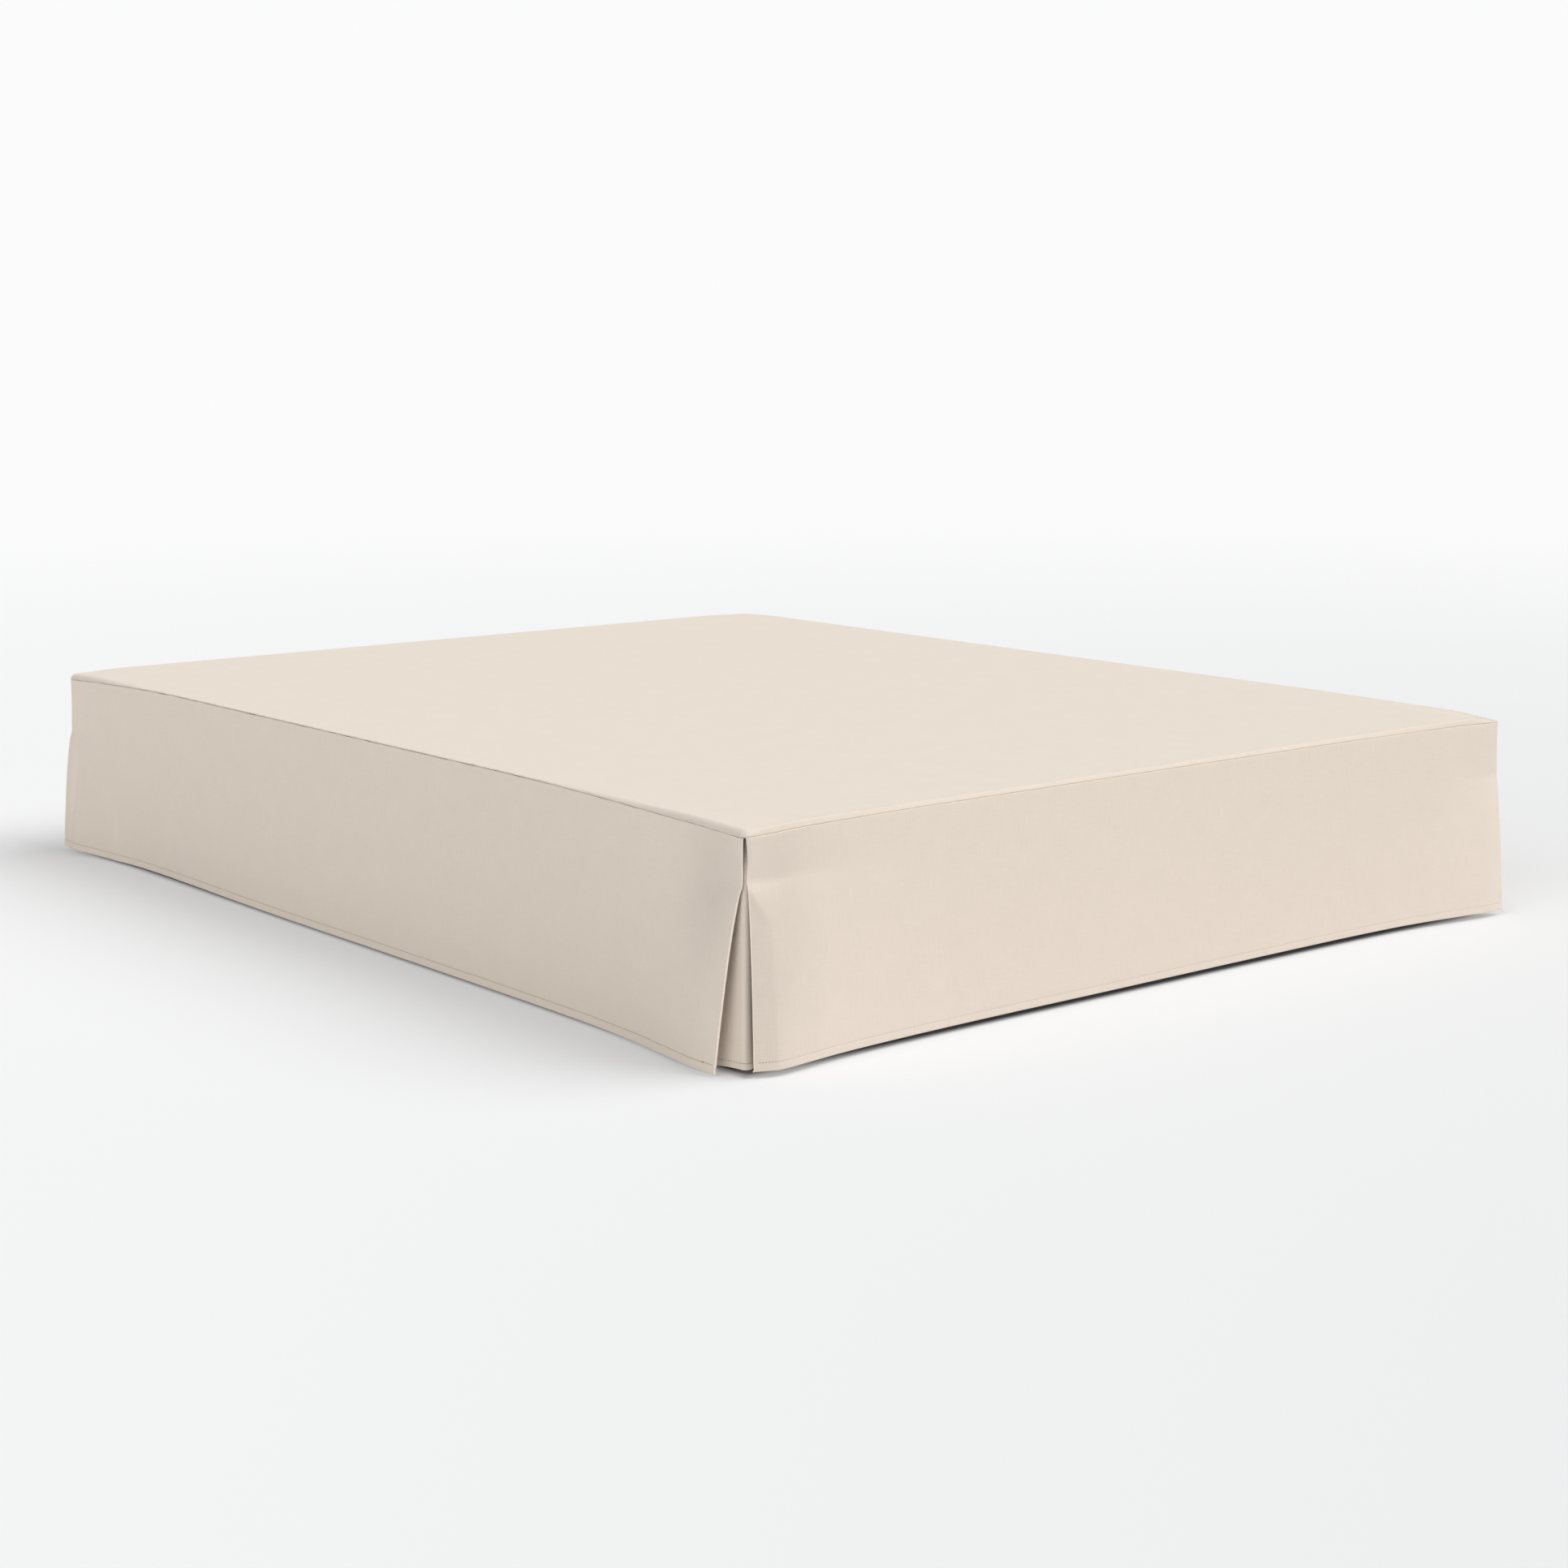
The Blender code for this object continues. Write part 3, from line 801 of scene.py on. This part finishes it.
def woven_cotton(name, colour, weave_pitch):
    """Brushed cotton in plain weave, dyed beige: matt and faintly slubbed, with a soft sheen that lightens
    edges, a painted highlight that makes the folds paler, and painted shade that makes patches and the top's
    rounding darker.

    Its threads lie 0.35 mm apart, too fine for the render, so the weave is drawn coarser, at weave_pitch.
    """
    material, tree = empty_material(name)
    place = add_node(tree, "ShaderNodeAttribute", {"attribute_name": "cloth"}).outputs["Vector"]
    wave_scale = WAVE_REPEAT / weave_pitch
    warp = add_node(tree, "ShaderNodeTexWave", {"bands_direction": "X"},
                    {"Vector": place, "Scale": wave_scale, "Distortion": 0.6, "Detail": 1.0})
    weft = add_node(tree, "ShaderNodeTexWave", {"bands_direction": "Y"},
                    {"Vector": place, "Scale": wave_scale, "Distortion": 0.6, "Detail": 1.0})
    weave = add_node(tree, "ShaderNodeMath", {"operation": "MULTIPLY"},
                     {0: warp.outputs["Fac"], 1: weft.outputs["Fac"]}).outputs["Value"]
    slub_long = add_node(tree, "ShaderNodeMapping", {},
                         {"Vector": place, "Scale": (1 / SLUB_LENGTH, 1 / SLUB_WIDTH, 1.0)})
    slub_down = add_node(tree, "ShaderNodeMapping", {},
                         {"Vector": place, "Scale": (1 / SLUB_WIDTH, 1 / SLUB_LENGTH, 1.0)})
    along = add_node(tree, "ShaderNodeTexNoise", {},
                     {"Vector": slub_long.outputs["Vector"], "Scale": 1.0, "Detail": 2.0})
    down = add_node(tree, "ShaderNodeTexNoise", {},
                    {"Vector": slub_down.outputs["Vector"], "Scale": 1.0, "Detail": 2.0})
    slubs = add_node(tree, "ShaderNodeMath", {"operation": "ADD"},
                     {0: along.outputs["Fac"], 1: down.outputs["Fac"]}).outputs["Value"]
    mottle = add_node(tree, "ShaderNodeTexNoise", {},
                      {"Vector": place, "Scale": 1 / MOTTLE_SIZE, "Detail": 3.0}).outputs["Fac"]
    fine = add_node(tree, "ShaderNodeMapRange", {},
                    {"Value": slubs, "From Min": 0.7, "From Max": 1.3, "To Min": 0.975, "To Max": 1.025})
    broad = add_node(tree, "ShaderNodeMapRange", {},
                     {"Value": mottle, "From Min": 0.3, "From Max": 0.7, "To Min": 0.992, "To Max": 1.008})
    woven = add_node(tree, "ShaderNodeMath", {"operation": "MULTIPLY"},
                     {0: fine.outputs["Result"], 1: broad.outputs["Result"]}).outputs["Value"]
    painted_shading_amount = add_node(tree, "ShaderNodeSeparateXYZ", {}, {"Vector": place}).outputs["Z"]
    # Painted highlight: folds up to a quarter paler
    painted_fold_highlight = add_node(tree, "ShaderNodeMapRange", {"interpolation_type": "SMOOTHSTEP"},
                       {"Value": painted_shading_amount, "From Min": 0.0, "From Max": 0.3, "To Min": 1.0, "To Max": 1.25})
    # Painted shade: patches and the top's rounding up to a fifth darker
    turned = add_node(tree, "ShaderNodeMapRange", {},
                      {"Value": painted_shading_amount, "From Min": -0.2, "From Max": 0.0, "To Min": 0.8, "To Max": 1.0})
    painted_shading = add_node(tree, "ShaderNodeMath", {"operation": "MULTIPLY"},
                   {0: painted_fold_highlight.outputs["Result"], 1: turned.outputs["Result"]}).outputs["Value"]
    tone = add_node(tree, "ShaderNodeMath", {"operation": "MULTIPLY"}, {0: woven, 1: painted_shading}).outputs["Value"]
    dyed = add_node(tree, "ShaderNodeVectorMath", {"operation": "SCALE"},
                    {0: colour, "Scale": tone}).outputs["Vector"]
    height = add_node(tree, "ShaderNodeMath", {"operation": "ADD"}, {0: weave, 1: slubs}).outputs["Value"]
    bump = add_node(tree, "ShaderNodeBump", {}, {"Strength": 0.35, "Distance": 0.25 * MM, "Height": height})
    shader = add_node(tree, "ShaderNodeBsdfPrincipled", {}, {
        "Base Color": dyed, "Normal": bump.outputs["Normal"], "Roughness": 0.88, "IOR": 1.5,
        "Specular IOR Level": 0.3, "Sheen Weight": 0.15, "Sheen Roughness": 0.5})
    add_node(tree, "ShaderNodeOutputMaterial", {}, {"Surface": shader.outputs["BSDF"]})
    return material


def twisted_thread(name, colour, thickness):
    """Spun polyester sewing thread, twisted, with fine slanted turns: darker than the cloth, partly its own
    colour and partly painted shade of the stitch holes.
    """
    material, tree = empty_material(name)
    place = add_node(tree, "ShaderNodeTexCoord").outputs["Object"]
    turns = add_node(tree, "ShaderNodeTexWave", {"bands_direction": "DIAGONAL"},
                     {"Vector": place, "Scale": WAVE_REPEAT / thickness})
    bump = add_node(tree, "ShaderNodeBump", {},
                    {"Strength": 0.5, "Distance": 0.1 * MM, "Height": turns.outputs["Fac"]})
    shader = add_node(tree, "ShaderNodeBsdfPrincipled", {}, {
        "Base Color": (*colour, 1.0), "Normal": bump.outputs["Normal"], "Roughness": 0.6, "IOR": 1.5,
        "Specular IOR Level": 0.4})
    add_node(tree, "ShaderNodeOutputMaterial", {}, {"Surface": shader.outputs["BSDF"]})
    return material


def painted_light_floor(name, colour, backdrop):
    """Matt white floor with a glow, painted light that keeps the shadows on it pale, cut off under the cover
    as painted shadow, and as bright as the backdrop far away."""
    material, tree = empty_material(name)
    place = add_node(tree, "ShaderNodeTexCoord").outputs["Object"]
    away = add_node(tree, "ShaderNodeVectorMath", {"operation": "LENGTH"}, {0: place}).outputs["Value"]
    fade = add_node(tree, "ShaderNodeMapRange", {"interpolation_type": "SMOOTHSTEP"}, {
        "Value": away, "From Min": FADE_START, "From Max": FADE_END, "To Min": 0.0, "To Max": 1.0})
    acrylic = add_node(tree, "ShaderNodeBsdfDiffuse", {}, {"Color": (*colour, 1.0), "Roughness": 0.5})
    parts = add_node(tree, "ShaderNodeSeparateXYZ", {}, {"Vector": place}).outputs
    # The floor's glow is cut off under the cover: a painted shadow there
    outside_painted_shadow = []
    for axis, half in (("X", HALF_WIDTH), ("Y", HALF_LENGTH)):
        aside = add_node(tree, "ShaderNodeMath", {"operation": "ABSOLUTE"}, {0: parts[axis]})
        past = add_node(tree, "ShaderNodeMapRange", {}, {
            "Value": aside.outputs["Value"], "From Min": half - SHADOW_MASK_INSIDE,
            "From Max": half + SHADOW_MASK_OUTSIDE, "To Min": 0.0, "To Max": FLOOR_PAINTED_LIGHT})
        outside_painted_shadow.append(past.outputs["Result"])
    glow_outside_painted_shadow = add_node(tree, "ShaderNodeMath", {"operation": "MAXIMUM"}, {0: outside_painted_shadow[0], 1: outside_painted_shadow[1]})
    glow = add_node(tree, "ShaderNodeEmission", {}, {"Strength": glow_outside_painted_shadow.outputs["Value"]})
    table = add_node(tree, "ShaderNodeAddShader", {},
                     {0: acrylic.outputs["BSDF"], 1: glow.outputs["Emission"]})
    light = add_node(tree, "ShaderNodeEmission", {}, {"Color": (*backdrop, 1.0), "Strength": 1.0})
    mixed = add_node(tree, "ShaderNodeMixShader", {}, {
        "Fac": fade.outputs["Result"], 1: table.outputs["Shader"], 2: light.outputs["Emission"]})
    add_node(tree, "ShaderNodeOutputMaterial", {}, {"Surface": mixed.outputs["Shader"]})
    return material


def cloth_of(context):
    """The cover's cloth, made once."""
    found = bpy.data.materials.get("brushed woven cotton")
    colours, sizes = context.scene.cover_colours, context.scene.cover_sizes
    return found or woven_cotton("brushed woven cotton", tuple(colours.cloth), sizes.weave_pitch)


def thread_of(context):
    """The sewing thread, made once."""
    found = bpy.data.materials.get("spun polyester thread")
    colours, sizes = context.scene.cover_colours, context.scene.cover_sizes
    return found or twisted_thread("spun polyester thread", tuple(colours.thread), sizes.thread)


class COVER_OT_top(bpy.types.Operator):
    """Make the top panel, rolled over the edges and turned in at the seam"""

    bl_idname = "cover.top"
    bl_label = "Top panel"

    def execute(self, context):
        across, lengthways = top_columns(HALF_WIDTH), top_columns(HALF_LENGTH)
        piece = cloth_piece("top_cloth", len(across) - 1, len(lengthways) - 1,
                            top_place(across, lengthways), Vector((0, 0, 1)),
                            context.scene.cover_sizes.cloth, cloth_of(context))
        dress(piece, "top_panel")
        return {"FINISHED"}


class COVER_OT_skirts(bpy.types.Operator):
    """Make the four skirts with their folded edges and stitched hems"""

    bl_idname = "cover.skirts"
    bl_label = "Skirts"

    def execute(self, context):
        sizes = context.scene.cover_sizes
        for name in SIDES:
            face = SkirtFace(name, sizes.fold)
            columns, rows = face.columns(), face.rows()
            piece = cloth_piece("skirt_cloth_" + name, len(columns) - 1, len(rows) - 1,
                                face.place(columns, rows), face.outward, sizes.cloth, cloth_of(context))
            dress(piece, "skirt_" + name)
            stitches = hem_stitches("hem_stitches_" + name, face, sizes, thread_of(context))
            dress(stitches, None)
        return {"FINISHED"}


class COVER_OT_pleats(bpy.types.Operator):
    """Make the pleat inserts behind the corner slits"""

    bl_idname = "cover.pleats"
    bl_label = "Pleat inserts"

    def execute(self, context):
        sizes = context.scene.cover_sizes
        for name in CORNERS:
            face = PleatFace(name, sizes.fold)
            columns, rows = face.columns(), face.rows()
            outward = Vector((face.corner.x, face.corner.y, 0))
            piece = cloth_piece("pleat_cloth_" + name, len(columns) - 1, len(rows) - 1,
                                face.place(columns, rows), outward, sizes.cloth, cloth_of(context))
            dress(piece, "pleat_" + name)
            stitches = hem_stitches("pleat_stitches_" + name, face, sizes, thread_of(context))
            dress(stitches, None)
        return {"FINISHED"}


class COVER_OT_stage(bpy.types.Operator):
    """Make the floor, the light and the camera"""

    bl_idname = "cover.stage"
    bl_label = "Stage"

    def execute(self, context):
        make_floor(context)
        make_light(context)
        make_camera(context)
        return {"FINISHED"}


def make_floor(context):
    """Round floor under the object, glowing with painted light and cut off as painted shadow under the
    cover.
    """
    bm = bmesh.new()
    bmesh.ops.create_circle(bm, cap_ends=True, segments=96, radius=FLOOR_RADIUS)
    mesh = bpy.data.meshes.new("floor")
    bm.to_mesh(mesh)
    bm.free()
    floor = bpy.data.objects.new("floor", mesh)
    floor.location.z = FLOOR_LEVEL
    mesh.materials.append(
        painted_light_floor("matt floor with painted light and shadow", tuple(context.scene.cover_colours.floor), linear(BACKDROP)))
    context.scene.collection.objects.link(floor)


def make_light(context):
    """White backdrop, a soft key light from the right and a weaker one from the left."""
    context.scene.view_settings.view_transform = "Standard"
    world = bpy.data.worlds.new("studio")
    context.scene.world = world
    world.use_nodes = True
    tree = world.node_tree
    tree.nodes.clear()
    seen = add_node(tree, "ShaderNodeBackground", {}, {"Color": (*linear(BACKDROP), 1.0)})
    lit = add_node(tree, "ShaderNodeBackground", {}, {"Color": (*linear(SKY), 1.0)})
    path = add_node(tree, "ShaderNodeLightPath")
    mixed = add_node(tree, "ShaderNodeMixShader", {}, {
        "Fac": path.outputs["Is Camera Ray"], 1: lit.outputs["Background"], 2: seen.outputs["Background"]})
    add_node(tree, "ShaderNodeOutputWorld", {}, {"Surface": mixed.outputs["Shader"]})
    for name, lamp in LAMPS.items():
        data = bpy.data.lights.new(name, "SUN")
        data.energy = lamp.strength
        data.angle = lamp.angle
        light = bpy.data.objects.new(name, data)
        light.rotation_euler = Vector(lamp.way).to_track_quat("Z", "Y").to_euler()
        context.scene.collection.objects.link(light)


def make_camera(context):
    """Camera at the photo's place, aim and focal length."""
    data = bpy.data.cameras.new("camera")
    data.sensor_width = SENSOR
    data.lens = FOCAL_PIXELS * SENSOR / IMAGE_SIDE
    data.clip_start = 0.05
    data.clip_end = 200.0
    camera = bpy.data.objects.new("camera", data)
    camera.location = CAMERA_PLACE
    camera.rotation_euler = (math.pi / 2 - CAMERA_PITCH, 0.0, CAMERA_YAW - math.pi / 2)
    context.scene.collection.objects.link(camera)
    context.scene.camera = camera


class VIEW3D_PT_cover(bpy.types.Panel):
    """Box spring cover in the 3D view's sidebar"""

    bl_label = "Box spring cover"
    bl_space_type = "VIEW_3D"
    bl_region_type = "UI"
    bl_category = "Cover"

    def draw(self, context):
        for name in ("cloth", "fold", "stitch_pitch", "stitch_length", "thread", "weave_pitch"):
            self.layout.prop(context.scene.cover_sizes, name)
        for name in ("cloth", "thread", "floor"):
            self.layout.prop(context.scene.cover_colours, name)
        for operator in OPERATORS:
            self.layout.operator(operator.bl_idname)


OPERATORS = (COVER_OT_top, COVER_OT_skirts, COVER_OT_pleats, COVER_OT_stage)
CLASSES = (CoverSizes, CoverColours, *OPERATORS, VIEW3D_PT_cover)


def register():
    """Register the add-on's classes and its settings."""
    for cls in CLASSES:
        bpy.utils.register_class(cls)
    bpy.types.Scene.cover_sizes = PointerProperty(type=CoverSizes)
    bpy.types.Scene.cover_colours = PointerProperty(type=CoverColours)


def unregister():
    """Remove the add-on's settings and classes."""
    del bpy.types.Scene.cover_colours
    del bpy.types.Scene.cover_sizes
    for cls in reversed(CLASSES):
        bpy.utils.unregister_class(cls)


def main():
    """Make the cover and its stage."""
    register()
    bpy.ops.cover.top()
    bpy.ops.cover.skirts()
    bpy.ops.cover.pleats()
    bpy.ops.cover.stage()


if __name__ == "__main__":
    main()
